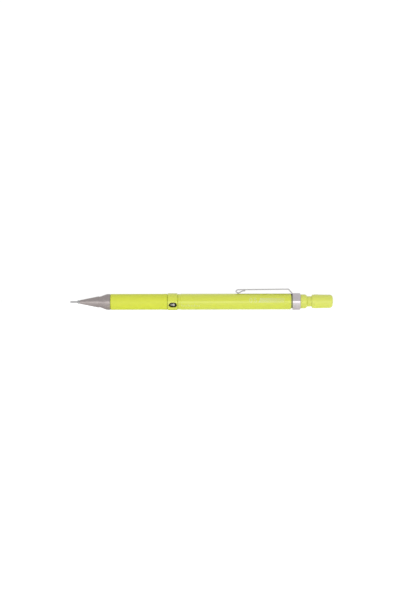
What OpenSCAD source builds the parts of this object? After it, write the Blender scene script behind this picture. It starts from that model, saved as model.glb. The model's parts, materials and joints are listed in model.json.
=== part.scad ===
// Click-advance drafting pencil, lying along X on the plane z = 0, tip towards -X and clip
// towards +Z. Stations (names that start with s_) are distances from the mouth of the lead
// sleeve, measured along the pencil's axis. Radii start with r_.

/* [Overall] */
// Length from the mouth of the lead sleeve to the end of the push cap
overall_l = 143; // [139:0.5:150]
// Diameter of the lead
lead_d = 0.56; // [0.5:0.02:0.58]

/* [Nose] */
// Length of lead sleeve that stands out of the tip
sleeve_out = 3.8; // [3:0.1:4.4]
// Outer diameter of the lead sleeve
sleeve_d = 0.9; // [0.84:0.02:0.94]
// Diameter of the steel tip that holds the sleeve
tip_d = 1.84; // [1.7:0.02:2]
// Diameter of the small end of the cone
cone_d0 = 2.1; // [2:0.05:2.3]
// Diameter of the large end of the cone, and of the neck behind it
cone_d1 = 6.04; // [5.9:0.02:6.2]

/* [Barrel] */
// Diameter of the front barrel
front_d = 8.64; // [8.5:0.02:8.7]
// Length of the front barrel
front_l = 31; // [29:0.5:33]
// Diameter of the rear barrel
rear_d = 8.8; // [8.7:0.02:8.9]

/* [Grade indicator] */
// Outer diameter of the turning ring
ring_d = 9.4; // [9.3:0.05:9.7]
// Length of the turning ring
ring_l = 5.5; // [5.4:0.1:5.7]
// Angle of the window below the side that faces -Y
window_tilt = 24; // [0:1:60]

/* [Clip and band] */
// Outer diameter of the metal band
band_d = 9.2; // [9.1:0.02:9.3]
// Length of the metal band
band_l = 4.5; // [4.2:0.1:4.8]
// Thickness of the clip's strip
clip_t = 0.6; // [0.5:0.02:0.6]
// Width of the clip at its root
clip_w = 3.4; // [2.8:0.1:3.8]
// Width of the clip at its free end
clip_tip_w = 2.5; // [2:0.1:2.8]
// Height of the arm's middle line above the pencil's axis, at the bend
arm_h = 6.7; // [6.6:0.05:6.9]

/* [Push button] */
// Travel of the push button
push_travel = 2.4; // [2.2:0.1:2.4]
// Diameter of the tube that shows between the barrel and the cap
neck_d = 5.72; // [5.68:0.02:5.8]
// Diameter of the cap behind its collar
cap_d = 7.52; // [7.4:0.02:7.6]
// Diameter of the collar round the cap's mouth
rim_d = 7.66; // [7.6:0.02:7.8]
// Length of the cap
cap_l = 11.5; // [11:0.1:12]

/* [Spring] */
// Diameter of the spring's wire
wire_d = 0.32; // [0.24:0.02:0.34]
// Number of turns
spring_turns = 12; // [8:1:13]

/* [Hidden] */
$fn = 96;

// Gaps between pieces
fit = 0.02;       // radial gap of a piece that is pressed or screwed in for good
slip = 0.05;      // radial gap of a piece that slides or unscrews
seam = 0.05;      // gap between faces that meet
stop_gap = 0.1;   // what is left between the cap and the barrel when the button is down
ring_gap = 0.1;   // gap at each end of the turning ring

// Stations of the nose
s_tip = sleeve_out;
s_cone = s_tip + 1.4;
s_neck = s_cone + 9.8;
s_flare = s_neck + 1.4;
s_nose_end = s_flare + 5.45;
s_sleeve_end = s_cone + 1;
s_bush_end = s_cone + 2.9;
s_pocket_end = s_bush_end + 2.1;
s_ring_stop = s_neck - 1.45;
s_clamp = s_flare + 0.25;
s_thread = s_clamp + 0.85;

// Stations of the barrel
s_front = s_nose_end + seam;
s_front_end = s_front + front_l;
s_groove = s_front_end - 3.35;
s_ring = s_front_end + ring_gap;
s_ring_end = s_ring + ring_l;
s_rear = s_ring_end + ring_gap;
s_step = s_rear + 1.4;
s_cap = overall_l - cap_l;
s_bush_tail = s_cap - push_travel - stop_gap;
s_flange = s_bush_tail - 3.6;
s_band = s_flange - band_l;
s_collar = s_band - 0.7;
s_rear_end = s_collar - seam;

// Stations of the mechanism
s_chuck = s_neck - 1.1;
s_clutch = s_chuck + 0.5;
s_clutch_end = s_clutch + 2.2;
s_web_end = s_clutch_end + 1.5;
s_housing_end = s_web_end + 16.4;
s_coupling = s_housing_end - 2.9;
s_stem_end = s_coupling + 3;
s_tube = s_coupling + 5.7;
s_spigot_end = s_tube + 4.8;
s_tube_end = s_bush_tail - 2.1;
s_socket = s_cap + 1.7;
s_push_end = s_socket + 5.3;
s_eraser_end = s_push_end + 2.4;
s_insert_end = s_front + 9;
s_joiner = s_front_end - 9.3;
s_joiner_end = s_rear + 9.9;
s_shank = s_rear_end - 8.2;

// Radii
r_lead = lead_d / 2;
r_guide = r_lead + fit;
r_sleeve = sleeve_d / 2;
r_front = front_d / 2;
r_rear = rear_d / 2;
r_ring = ring_d / 2;
r_band = band_d / 2;
r_neck = neck_d / 2;
r_clamp = 2.65;
r_thread = 2.7;
r_insert = 3.2;
r_joiner = 3.3;
r_scale = 3.95;
r_shank = 3.45;
r_flange = 3.87;
r_pocket = 1.3;
r_head_bore = 1.65;
r_clutch = 1.9;
r_head = 1.46;
r_stem = 1;
r_chamber = 1.8;
r_housing = 2.1;
r_tube_in = 1.52;
r_tube = 1.9;
r_eraser = 2.27;
r_spring = 1.45;
axis_z = r_ring;

// Chuck cone and the ring that closes it
head_taper = 0.136;
function r_cone(s) = r_head - head_taper * (s - s_chuck - 0.3);

// Clip, as stations and heights above the axis
r_collar = r_rear - 0.65;
hinge_s = s_collar + 0.35;
hinge_h = r_rear - 0.2;
bend_s = s_rear_end - 1.3;
arm_drop = 0.25;
loop_s = s_rear_end - 29.1;
foot_h = r_rear + 0.06 + clip_t / 2;

// Points of an arc about [r, s], from angle a0 to angle a1, in n steps
function arc(r, s, rad, a0, a1, n = 6) =
    [for (i = [0:n]) let (a = a0 + (a1 - a0) * i / n) [r + rad * cos(a), s + rad * sin(a)]];

// Outline of a ridged thread, from s0 to s1 at crest radius r
function ridges(r, s0, s1, depth = 0.2, pitch = 0.7) =
    let (n = floor((s1 - s0) / pitch))
    [for (i = [0:n - 1]) for (k = [0:3])
        [k % 3 == 0 ? r - depth : r, s0 + pitch * (i + [0, 0.3, 0.6, 0.9][k])]];

// A path through corners [s, h, radius], with each corner rounded by an arc of that radius
function unit(v) = v / norm(v);
function xy(p) = [p[0], p[1]];
function rounded_corner(a, b, c, n = 6) =
    let (
        u = unit(xy(a) - xy(b)),
        v = unit(xy(c) - xy(b)),
        half = acos(u * v) / 2,
        centre = xy(b) + unit(u + v) * b[2] / sin(half),
        start = xy(b) + u * b[2] / tan(half) - centre,
        sweep = 180 - 2 * half,
        sense = (u[0] * v[1] - u[1] * v[0]) > 0 ? -1 : 1
    )
    [for (i = [0:n]) let (t = sense * sweep * i / n)
        centre + [start[0] * cos(t) - start[1] * sin(t), start[0] * sin(t) + start[1] * cos(t)]];
function rounded_path(p) = concat(
    [xy(p[0])],
    [for (i = [1:len(p) - 2]) each rounded_corner(p[i - 1], p[i], p[i + 1])],
    [xy(p[len(p) - 1])]
);

// The outline of a strip of thickness t whose middle line is the path p
function heading(p, i) = unit(p[min(i + 1, len(p) - 1)] - p[max(i - 1, 0)]);
function side(p, i, d) = let (h = heading(p, i)) p[i] + d * [-h[1], h[0]];
function strip(p, t) = concat(
    [for (i = [0:len(p) - 1]) side(p, i, t / 2)],
    [for (i = [len(p) - 1:-1:0]) side(p, i, -t / 2)]
);

// Puts what is modelled along +X from the sleeve's mouth into the part's own frame
module placed() translate([-overall_l / 2, 0, axis_z]) children();

// A turned piece, from its outline in [radius, station]
module turned(outline) placed() rotate([0, 90, 0]) rotate_extrude() polygon(outline);

module lead_sleeve() color("silver")
    turned([
        [r_sleeve - 0.05, 0], [r_sleeve, 0.08], [r_sleeve, s_sleeve_end],
        [r_guide, s_sleeve_end], [r_guide, 0]
    ]);

module tip_bush() color("dimgray")
    turned([
        [r_sleeve + 0.12, s_tip], [tip_d / 2 - 0.06, s_tip + 0.22], [tip_d / 2, s_tip + 0.4],
        [tip_d / 2, s_cone - seam / 2], [0.7, s_cone - seam / 2], [0.7, s_bush_end],
        [r_guide + 0.2, s_bush_end], [r_guide, s_bush_end - 0.5],
        [r_guide, s_sleeve_end + fit], [r_sleeve + fit, s_sleeve_end + fit],
        [r_sleeve + fit, s_tip]
    ]);

module nose_cone() color([0.62, 0.57, 0.56])
    turned(concat(
        // cone, neck with a shallow groove, and a flare that rounds over into the seam
        [[cone_d0 / 2 - 0.12, s_cone], [cone_d0 / 2, s_cone + 0.15]],
        [[cone_d1 / 2, s_neck], [cone_d1 / 2, s_neck + 0.6], [cone_d1 / 2 - 0.07, s_neck + 0.7]],
        [[cone_d1 / 2 - 0.07, s_neck + 0.95], [cone_d1 / 2, s_neck + 1.05]],
        arc(cone_d1 / 2 + 1.2, s_flare - 0.15, 1.2, 180, 160, 4),
        arc(r_front - 4, s_nose_end - 1.3, 4, -20, 0, 6),
        arc(r_front - 0.35, s_nose_end - 0.35, 0.35, 0, 90, 4),
        // threaded bore, clamping shoulder, clutch chamber, head bore, retainer pocket, bush bore
        [[r_thread + slip, s_nose_end], [r_thread + slip, s_thread], [r_clamp, s_thread]],
        [[r_clamp, s_clamp], [r_clutch + 0.1, s_clamp], [r_clutch + 0.1, s_ring_stop]],
        [[r_head_bore, s_ring_stop], [r_head_bore, s_pocket_end], [r_pocket, s_pocket_end]],
        [[r_pocket, s_bush_end + fit], [0.7 + fit, s_bush_end + fit], [0.7 + fit, s_cone]]
    ));

module lead_retainer() color([0.2, 0.2, 0.2])
    turned([
        [r_pocket - fit, s_bush_end + seam], [r_pocket - fit, s_pocket_end],
        [r_guide + 0.45, s_pocket_end], [r_guide, s_pocket_end - 0.7],
        [r_guide, s_bush_end + seam]
    ]);

module chuck() color("goldenrod") difference() {
    turned([
        [r_head - 0.35, s_chuck], [r_head, s_chuck + 0.3],
        [r_cone(s_clutch_end + 0.1), s_clutch_end + 0.1], [r_stem, s_clutch_end + 0.4],
        [r_stem, s_stem_end], [r_guide + 0.15, s_stem_end],
        [r_guide + 0.15, s_clutch_end + 1], [r_guide, s_clutch_end + 0.6], [r_guide, s_chuck]
    ]);
    for (a = [90, 210, 330])
        placed() translate([s_chuck - 1, 0, 0]) rotate([a, 0, 0])
            translate([0, -0.11, 0]) cube([9.5, 0.22, 3]);
}

module chuck_ring() color("peru")
    turned([
        [r_clutch - 0.1, s_clutch], [r_clutch, s_clutch + 0.1],
        [r_clutch, s_clutch_end - 0.1], [r_clutch - 0.1, s_clutch_end],
        [r_cone(s_clutch_end) + 0.03, s_clutch_end], [r_cone(s_clutch) + 0.03, s_clutch]
    ]);

// Height of the spring's wire at turn t: closed end turns, and open ones between them
spring_l = s_coupling - s_web_end - 2 * seam;
open_pitch = (spring_l - 3 * wire_d) / (spring_turns - 2);
function coil_s(t) =
    let (end = wire_d * 1.03, low = min(t, 1), high = max(t - spring_turns + 1, 0))
    s_web_end + seam + wire_d / 2 + end * low + open_pitch * (t - low - high) + end * high;

module chuck_spring() color("lightgray") {
    steps = 16;
    sides = 6;
    n = spring_turns * steps;
    points = [for (i = [0:n]) for (k = [0:sides - 1])
        let (t = i / steps, a = 360 * t, b = 360 * k / sides, r = r_spring + wire_d / 2 * cos(b))
        [coil_s(t) + wire_d / 2 * sin(b), r * cos(a), r * sin(a)]];
    walls = [for (i = [0:n - 1]) for (k = [0:sides - 1])
        let (a = i * sides + k, b = i * sides + (k + 1) % sides)
        [a, b, b + sides, a + sides]];
    first = [for (k = [sides - 1:-1:0]) k];
    last = [for (k = [0:sides - 1]) n * sides + k];
    placed() polyhedron(points, concat([first], walls, [last]), convexity = 8);
}

module chuck_housing() color("tan")
    turned([
        [r_clamp - slip, s_clamp + seam], [r_clamp - slip, s_thread - seam],
        [r_housing, s_thread - seam], [r_housing, s_housing_end],
        [r_chamber, s_housing_end], [r_chamber, s_web_end],
        [r_stem + 0.2, s_web_end], [r_stem + 0.2, s_clamp + seam]
    ]);

module thread_insert() color("goldenrod")
    turned(concat(
        [[r_thread - 0.2, s_thread]],
        ridges(r_thread, s_thread + 0.1, s_front - 0.25),
        [[r_thread - 0.2, s_front], [r_insert, s_front], [r_insert, s_insert_end]],
        [[r_housing + slip, s_insert_end], [r_housing + slip, s_thread]]
    ));

module front_barrel() color([0.86, 0.89, 0.32])
    turned([
        [r_front - 0.25, s_front], [r_front - 0.06, s_front + 0.1], [r_front, s_front + 0.35],
        // two fine grooves and a slightly raised collar
        [r_front, s_groove], [r_front - 0.06, s_groove + 0.1], [r_front, s_groove + 0.2],
        [r_front, s_groove + 1.1], [r_front - 0.05, s_groove + 1.2],
        [r_front + 0.04, s_groove + 1.32], [r_front + 0.05, s_front_end - 0.35],
        [r_front - 0.05, s_front_end - 0.1], [r_front - 0.25, s_front_end],
        [r_joiner + fit, s_front_end],
        [r_joiner + fit, s_joiner - seam], [r_joiner - 0.7, s_joiner - seam],
        [r_joiner - 0.7, s_insert_end + seam], [r_insert + fit, s_insert_end + seam],
        [r_insert + fit, s_front]
    ]);

module barrel_joiner() color("whitesmoke")
    turned(concat(
        [[r_joiner - 0.2, s_joiner]],
        ridges(r_joiner, s_joiner + 0.2, s_front_end - 0.6),
        [[r_joiner, s_front_end], [r_joiner, s_rear]],
        ridges(r_joiner, s_rear + 0.3, s_joiner_end - 0.2),
        [[r_joiner - 0.2, s_joiner_end], [2.5, s_joiner_end], [2.5, s_joiner]]
    ));

module grade_scale() color([0.08, 0.08, 0.08])
    turned([
        [r_scale, s_front_end + seam], [r_scale, s_rear - seam],
        [r_joiner + fit, s_rear - seam], [r_joiner + fit, s_front_end + seam]
    ]);

// The window: a slot with round ends, and a pointed notch towards the tip
window_l = 4.3;
window_w = 2.9;
module window_cutter() {
    r = window_w / 2;
    reach = (window_l - window_w) / 2;
    for (x = [-reach, reach]) translate([x, 0, 0]) cylinder(r = r, h = 3);
    translate([-reach, -r, 0]) cube([2 * reach, window_w, 3]);
    linear_extrude(3) polygon([
        [-window_l / 2 + 0.2, 0.6], [-window_l / 2 - 0.5, 0], [-window_l / 2 + 0.2, -0.6]
    ]);
}

module grade_ring() color([0.84, 0.88, 0.36]) difference() {
    turned([
        [r_ring - 0.3, s_ring], [r_ring - 0.08, s_ring + 0.06], [r_ring, s_ring + 0.2],
        [r_ring, s_ring_end - 0.55], [r_ring - 0.06, s_ring_end - 0.3],
        [r_ring - 0.2, s_ring_end - 0.1], [r_ring - 0.4, s_ring_end],
        [r_scale + slip, s_ring_end], [r_scale + slip, s_ring]
    ]);
    placed() translate([(s_ring + s_ring_end) / 2 + 0.18, 0, 0])
        rotate([90 + window_tilt, 0, 0]) translate([0, 0, r_scale - 0.5]) window_cutter();
}

module rear_barrel() color([0.87, 0.9, 0.42])
    turned([
        [r_rear - 0.3, s_rear], [r_rear - 0.13, s_rear + 0.12], [r_rear - 0.13, s_step],
        [r_rear, s_step + 0.12], [r_rear, s_rear_end - 0.2], [r_rear - 0.15, s_rear_end],
        [r_shank + fit, s_rear_end], [r_shank + fit, s_shank - seam],
        [3, s_shank - seam], [3, s_joiner_end + seam],
        [r_joiner + fit, s_joiner_end + seam], [r_joiner + fit, s_rear]
    ]);

module clip_collar() color("gray") difference() {
    union() {
        turned([
            [r_collar, s_collar], [r_collar, s_band - seam],
            [r_shank + fit, s_band - seam], [r_shank + fit, s_collar]
        ]);
        // the tab that the clip's strip grows from, which grows out of the ring itself
        placed() translate([s_collar, -clip_w / 2, r_shank - 0.6])
            cube([s_band - seam - s_collar, clip_w, hinge_h - seam - r_shank + 0.6]);
    }
    placed() translate([s_collar - 1, 0, 0]) rotate([0, 90, 0]) cylinder(r = r_shank + fit, h = 4);
}

module clip() color("silver") {
    arm_end = arm_h - arm_drop;
    path = rounded_path([
        [hinge_s, hinge_h], [hinge_s, hinge_h + 0.5, 0.4], [bend_s, arm_h, 0.7],
        // the end is folded back on itself in a loop, which rests on the barrel
        [loop_s, arm_end, 1.2], [loop_s - 1.2, foot_h + 0.78, 0.5],
        [loop_s + 0.45, foot_h - 0.11, 0.8], [loop_s + 2.95, arm_end - clip_t - 0.03, 1],
        [loop_s + 4.15, arm_end - clip_t - 0.02]
    ]);
    placed() intersection() {
        translate([0, clip_w, 0]) rotate([90, 0, 0])
            linear_extrude(2 * clip_w) polygon(strip(path, clip_t));
        // seen from above, the strip narrows towards the loop
        translate([0, 0, hinge_h - 0.1]) linear_extrude(5) polygon([
            [hinge_s + 1, -clip_w / 2], [hinge_s + 1, clip_w / 2], [bend_s, clip_w / 2],
            [loop_s - 2, clip_tip_w / 2], [loop_s - 2, -clip_tip_w / 2], [bend_s, -clip_w / 2]
        ]);
    }
}

module clip_band() color([0.78, 0.76, 0.79])
    turned(concat(
        [[r_shank + fit, s_band], [r_band - 0.2, s_band], [r_band - 0.05, s_band + 0.08]],
        [[r_band, s_band + 0.3]],
        arc(r_band - 0.7, s_flange - seam - 0.7, 0.7, 0, 80, 6),
        [[r_shank + fit, s_flange - seam]]
    ));

module end_bush() color([0.86, 0.89, 0.36])
    turned(concat(
        [[r_shank, s_flange], [r_flange, s_flange]],
        arc(r_flange - 1.6, s_bush_tail - 1.6, 1.6, 0, 60, 6),
        [[r_neck + 0.15, s_bush_tail], [r_neck + slip, s_bush_tail]],
        [[r_neck + slip, s_shank]],
        ridges(r_shank, s_shank + 0.1, s_rear_end - 0.8),
        [[r_shank, s_rear_end - 0.4]]
    ));

module push_tube() color([0.87, 0.9, 0.4])
    turned([
        [r_neck - 0.2, s_tube_end - 7.9], [r_neck, s_tube_end - 7.6], [r_neck, s_push_end - 0.3],
        [r_neck - 0.2, s_push_end], [r_eraser + fit, s_push_end], [r_eraser + fit, s_socket],
        [r_tube_in, s_socket], [r_tube_in, s_tube_end + seam],
        [r_tube + fit, s_tube_end + seam], [r_tube + fit, s_tube_end - 7.9]
    ]);

module eraser() color("white")
    turned(concat(
        [[0, s_socket + seam], [r_eraser, s_socket + seam]],
        arc(r_eraser - 0.5, s_eraser_end - 0.5, 0.5, 0, 90, 5),
        [[0, s_eraser_end]]
    ));

module push_cap() color([0.86, 0.89, 0.38])
    turned(concat(
        // a lip, a collar, and a body that narrows slightly to a rounded end
        [[r_neck + slip, s_cap], [rim_d / 2 - 0.25, s_cap], [rim_d / 2 - 0.11, s_cap + 0.15]],
        [[rim_d / 2 - 0.11, s_cap + 1.2], [rim_d / 2, s_cap + 1.35], [rim_d / 2, s_cap + 3.5]],
        [[cap_d / 2, s_cap + 3.65]],
        arc(cap_d / 2 - 2.1, overall_l - 2, 2, 0, 80, 8),
        [[cap_d / 2 - 2.4, overall_l], [0, overall_l], [0, s_eraser_end + 0.4]],
        [[r_eraser + 0.2, s_eraser_end + 0.4], [r_eraser + 0.4, s_push_end + 0.6]],
        [[r_neck + slip, s_push_end + 0.3]]
    ));

module tube_coupling() color("burlywood")
    turned([
        [r_chamber - 0.08, s_coupling], [r_chamber - 0.08, s_tube - seam],
        [r_tube_in - fit, s_tube - seam], [r_tube_in - fit, s_spigot_end],
        [r_tube_in - 0.2, s_spigot_end], [r_guide + 0.15, s_spigot_end - 2],
        [r_guide + 0.15, s_stem_end + fit], [r_stem + fit, s_stem_end + fit],
        [r_stem + fit, s_coupling]
    ]);

module lead_tube() color([0.9, 0.92, 0.93])
    turned([
        [r_tube, s_tube], [r_tube, s_tube_end], [r_tube_in, s_tube_end], [r_tube_in, s_tube]
    ]);

module lead_stick(l) rotate([0, 90, 0]) cylinder(d = lead_d, h = l, $fn = 24);

module lead() color([0.15, 0.15, 0.16]) placed() translate([0.3, 0, 0]) lead_stick(50);

// Three spare leads that lie side by side in the tube
module spare_leads() color([0.15, 0.15, 0.16]) {
    r = r_tube_in - r_lead - fit;
    for (a = [-28, 0, 28])
        placed() translate([s_spigot_end + 16, r * sin(a), -r * cos(a)]) lead_stick(60);
}

lead_sleeve();
tip_bush();
nose_cone();
lead_retainer();
chuck();
chuck_ring();
chuck_spring();
chuck_housing();
thread_insert();
front_barrel();
barrel_joiner();
grade_scale();
grade_ring();
rear_barrel();
clip_collar();
clip();
clip_band();
end_bush();
push_tube();
eraser();
push_cap();
tube_coupling();
lead_tube();
lead();
spare_leads();
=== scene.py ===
"""A click-advance drafting pencil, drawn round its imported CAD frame.

The pencil lies along X with its tip towards -X, its clip towards +Z and its axis at AXIS_Z. Blender's
unit is the metre. Outlines here are in millimetres: a station is the distance along the pencil from the
mouth of the lead sleeve, and a radius is measured from the axis. Angles go round the axis from the side
that faces -Y, up towards +Z.
"""

import json
import math

import bmesh
import bpy
from mathutils import Matrix, Vector


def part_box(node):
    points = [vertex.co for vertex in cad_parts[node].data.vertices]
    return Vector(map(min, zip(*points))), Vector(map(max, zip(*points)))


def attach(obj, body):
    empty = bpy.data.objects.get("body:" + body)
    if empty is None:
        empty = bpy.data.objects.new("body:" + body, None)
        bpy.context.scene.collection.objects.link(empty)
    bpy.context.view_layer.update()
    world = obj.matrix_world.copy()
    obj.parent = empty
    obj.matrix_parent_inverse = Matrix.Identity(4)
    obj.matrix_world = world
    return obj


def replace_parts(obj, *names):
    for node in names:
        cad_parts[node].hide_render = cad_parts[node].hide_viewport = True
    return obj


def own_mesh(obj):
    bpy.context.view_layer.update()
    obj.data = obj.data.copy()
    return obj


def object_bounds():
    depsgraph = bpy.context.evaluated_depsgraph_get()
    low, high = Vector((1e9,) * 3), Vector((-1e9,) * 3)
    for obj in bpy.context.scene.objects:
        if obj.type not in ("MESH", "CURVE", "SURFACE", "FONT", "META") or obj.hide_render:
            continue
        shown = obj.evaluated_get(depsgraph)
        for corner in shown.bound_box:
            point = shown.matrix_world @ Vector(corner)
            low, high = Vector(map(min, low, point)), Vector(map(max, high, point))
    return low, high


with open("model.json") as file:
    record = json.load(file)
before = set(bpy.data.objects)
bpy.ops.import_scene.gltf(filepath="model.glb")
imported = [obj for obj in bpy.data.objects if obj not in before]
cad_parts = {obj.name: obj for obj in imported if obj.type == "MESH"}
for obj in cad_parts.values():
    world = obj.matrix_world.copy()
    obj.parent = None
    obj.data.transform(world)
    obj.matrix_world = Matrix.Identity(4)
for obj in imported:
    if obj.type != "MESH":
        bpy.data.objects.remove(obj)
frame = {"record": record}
cad_low, cad_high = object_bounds()

MM = 0.001
SIDES = 168                  # sides of a turned piece that shows
STEP = 1.2                   # longest stretch of outline between two rings
SHARP = math.radians(32)     # edges that turn by more than this are drawn sharp
FIT = 0.02                   # radial gap of a pressed piece
SLIP = 0.05                  # radial gap of a sliding piece
LEAD_BORE = 0.3              # radius of every bore that guides the lead


# ---------------------------------------------------------------- the frame

RECORD = frame["record"]
BODY_OF = {node: body for body, nodes in RECORD["behaviour"]["bodies"].items() for node in nodes}
SLOT_OF = {part["node"]: part["material_slot"] for part in RECORD["subparts"]}
MOUTH_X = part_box("lead_sleeve")[0].x / MM
AXIS_Z = sum(corner.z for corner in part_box("rear_barrel")) / 2


def ends(node):
    """The stations of a node's front and back."""
    low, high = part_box(node)
    return low.x / MM - MOUTH_X, high.x / MM - MOUTH_X


def radius(node):
    """A turned node's largest radius."""
    low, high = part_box(node)
    return (high.y - low.y) / 2 / MM


def spot(station, r, angle):
    """The point at a station, radius and angle, in metres from the middle of the axis."""
    return (MM * (MOUTH_X + station), -MM * r * math.cos(angle), MM * r * math.sin(angle))


# ---------------------------------------------------------------- outlines

def rounded(corners, steps=6, closed=True):
    """The points of an outline through corners (station, radius[, fillet]), filleted where it is given."""
    points = []
    for i, corner in enumerate(corners):
        here = Vector(corner[:2])
        if len(corner) == 2 or (not closed and i in (0, len(corners) - 1)):
            points.append(here)
            continue
        before = Vector(corners[i - 1][:2]) - here
        after = Vector(corners[(i + 1) % len(corners)][:2]) - here
        half = before.angle(after) / 2
        reach = min(corner[2] / math.tan(half), 0.48 * before.length, 0.48 * after.length)
        before.normalize()
        after.normalize()
        centre = here + (before + after).normalized() * reach / math.cos(half)
        first = here + before * reach - centre
        last = here + after * reach - centre
        turn = math.copysign(math.pi - 2 * half, first.cross(last))
        for k in range(steps + 1):
            points.append(centre + Matrix.Rotation(turn * k / steps, 2) @ first)
    return points


def stepped(points, step, closed=True):
    """The same outline with no stretch longer than step."""
    fine = []
    pairs = zip(points, points[1:] + points[:1]) if closed else zip(points, points[1:])
    for a, b in pairs:
        parts = max(1, math.ceil((b - a).length / step))
        fine += [a.lerp(b, k / parts) for k in range(parts)]
    return fine if closed else fine + [points[-1]]


# ---------------------------------------------------------------- meshes

def bridge(mesh, a, b):
    """Faces between two rings of vertices. A ring of one vertex lies on the axis."""
    if len(a) == len(b) == 1:
        return
    n = max(len(a), len(b))
    for k in range(n):
        around = [a[k % len(a)], a[(k + 1) % len(a)], b[(k + 1) % len(b)], b[k % len(b)]]
        mesh.faces.new(dict.fromkeys(around))


def turned(corners, shape=None, sides=SIDES, step=STEP, mesh=None, closed=True):
    """A solid turned about the axis. shape(station, radius, angle), if given, returns another radius.

    closed says that the outline comes back to its start, as round a bore. An open one runs from the axis
    to the axis.
    """
    mesh = mesh or bmesh.new()
    rings = []
    for station, r in stepped(rounded(corners, closed=closed), step, closed):
        if r < 1e-6:
            rings.append([mesh.verts.new(spot(station, 0, 0))])
            continue
        angles = [math.tau * k / sides for k in range(sides)]
        reach = [shape(station, r, a) if shape else r for a in angles]
        rings.append([mesh.verts.new(spot(station, far, a)) for far, a in zip(reach, angles)])
    for a, b in zip(rings, rings[1:] + rings[:1] if closed else rings[1:]):
        bridge(mesh, a, b)
    return mesh


def sector(corners, start, end, sides, mesh):
    """A closed wedge of a turned solid, between two angles."""
    outline = rounded(corners)
    sections = []
    for k in range(sides + 1):
        angle = start + (end - start) * k / sides
        sections.append([mesh.verts.new(spot(s, r, angle)) for s, r in outline])
    for a, b in zip(sections, sections[1:]):
        bridge(mesh, a, b)
    mesh.faces.new(sections[0])
    mesh.faces.new(sections[-1])
    return mesh


def show(node, mesh, paint=None, name=None, sharp=SHARP):
    """Makes the piece that stands for a CAD node, on its body and with its finish."""
    bmesh.ops.recalc_face_normals(mesh, faces=mesh.faces)
    name = name or node + "_detail"
    data = bpy.data.meshes.new(name)
    mesh.to_mesh(data)
    mesh.free()
    data.shade_smooth()
    data.set_sharp_from_angle(angle=sharp)
    data.materials.append(paint or PAINTS[SLOT_OF[node]])
    piece = bpy.data.objects.new(name, data)
    piece.location.z = AXIS_Z
    bpy.context.scene.collection.objects.link(piece)
    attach(piece, BODY_OF[node])
    return piece


def stand_for(node, mesh, paint=None, sharp=SHARP):
    """Shows a piece in place of its CAD node."""
    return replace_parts(show(node, mesh, paint, sharp=sharp), node)


# ---------------------------------------------------------------- materials

class Paint:
    """A material under construction, with its principled shader and coordinates in millimetres."""

    def __init__(self, name, **surface):
        self.material = bpy.data.materials.new(name)
        self.material.use_nodes = True
        self.tree = self.material.node_tree
        self.tree.nodes.clear()
        self.shader = self.add("ShaderNodeBsdfPrincipled")
        output = self.add("ShaderNodeOutputMaterial")
        self.tree.links.new(self.shader.outputs[0], output.inputs["Surface"])
        for key, value in surface.items():
            self.shader.inputs[key.replace("_", " ").title().replace("Ior", "IOR")].default_value = value
        place = self.add("ShaderNodeTexCoord").outputs["Object"]
        scaled = self.add("ShaderNodeVectorMath", {0: place, "Scale": 1 / MM}, operation="SCALE")
        self.mm = scaled.outputs[0]

    def add(self, kind, inputs=None, **settings):
        """A new node, with its inputs linked or set."""
        node = self.tree.nodes.new(kind)
        for key, value in settings.items():
            setattr(node, key, value)
        for key, value in (inputs or {}).items():
            if isinstance(value, bpy.types.NodeSocket):
                self.tree.links.new(value, node.inputs[key])
            else:
                node.inputs[key].default_value = value
        return node

    def noise(self, stretch, detail=3.0, seed=0.0, rough=0.55):
        """Noise from 0 to 1, with stretch cycles a millimetre along X, Y and Z."""
        place = self.add(
            "ShaderNodeMapping", {"Vector": self.mm, "Scale": stretch, "Location": (seed, seed, seed)}
        )
        made = self.add(
            "ShaderNodeTexNoise",
            {"Vector": place.outputs[0], "Scale": 1.0, "Detail": detail, "Roughness": rough},
        )
        return made.outputs["Fac"]

    def spread(self, value, low, high, from_low=0.3, from_high=0.7):
        """Maps a value onto the range from low to high."""
        made = self.add(
            "ShaderNodeMapRange",
            {"Value": value, "From Min": from_low, "From Max": from_high, "To Min": low, "To Max": high},
        )
        return made.outputs["Result"]

    def sum(self, a, b, operation="ADD"):
        return self.add("ShaderNodeMath", {0: a, 1: b}, operation=operation).outputs[0]

    def mix(self, share, a, b):
        """A colour between a and b."""
        made = self.add("ShaderNodeMix", data_type="RGBA")
        for socket, value in ((0, share), (6, a), (7, b)):
            if isinstance(value, bpy.types.NodeSocket):
                self.tree.links.new(value, made.inputs[socket])
            else:
                made.inputs[socket].default_value = value
        return made.outputs[2]

    def edges(self, low=0.58, high=0.68):
        """1 on outer edges and 0 on flat faces."""
        return self.spread(self.add("ShaderNodeNewGeometry").outputs["Pointiness"], 0.0, 1.0, low, high)

    def bump(self, height, depth_mm, strength=1.0):
        """Gives the surface a relief of that depth."""
        relief = self.add(
            "ShaderNodeBump", {"Height": height, "Distance": depth_mm * MM, "Strength": strength}
        )
        self.tree.links.new(relief.outputs[0], self.shader.inputs["Normal"])

    def set(self, key, value):
        if isinstance(value, bpy.types.NodeSocket):
            self.tree.links.new(value, self.shader.inputs[key])
        else:
            self.shader.inputs[key].default_value = value


def rgb(r, g, b):
    return (r, g, b, 1.0)


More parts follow.
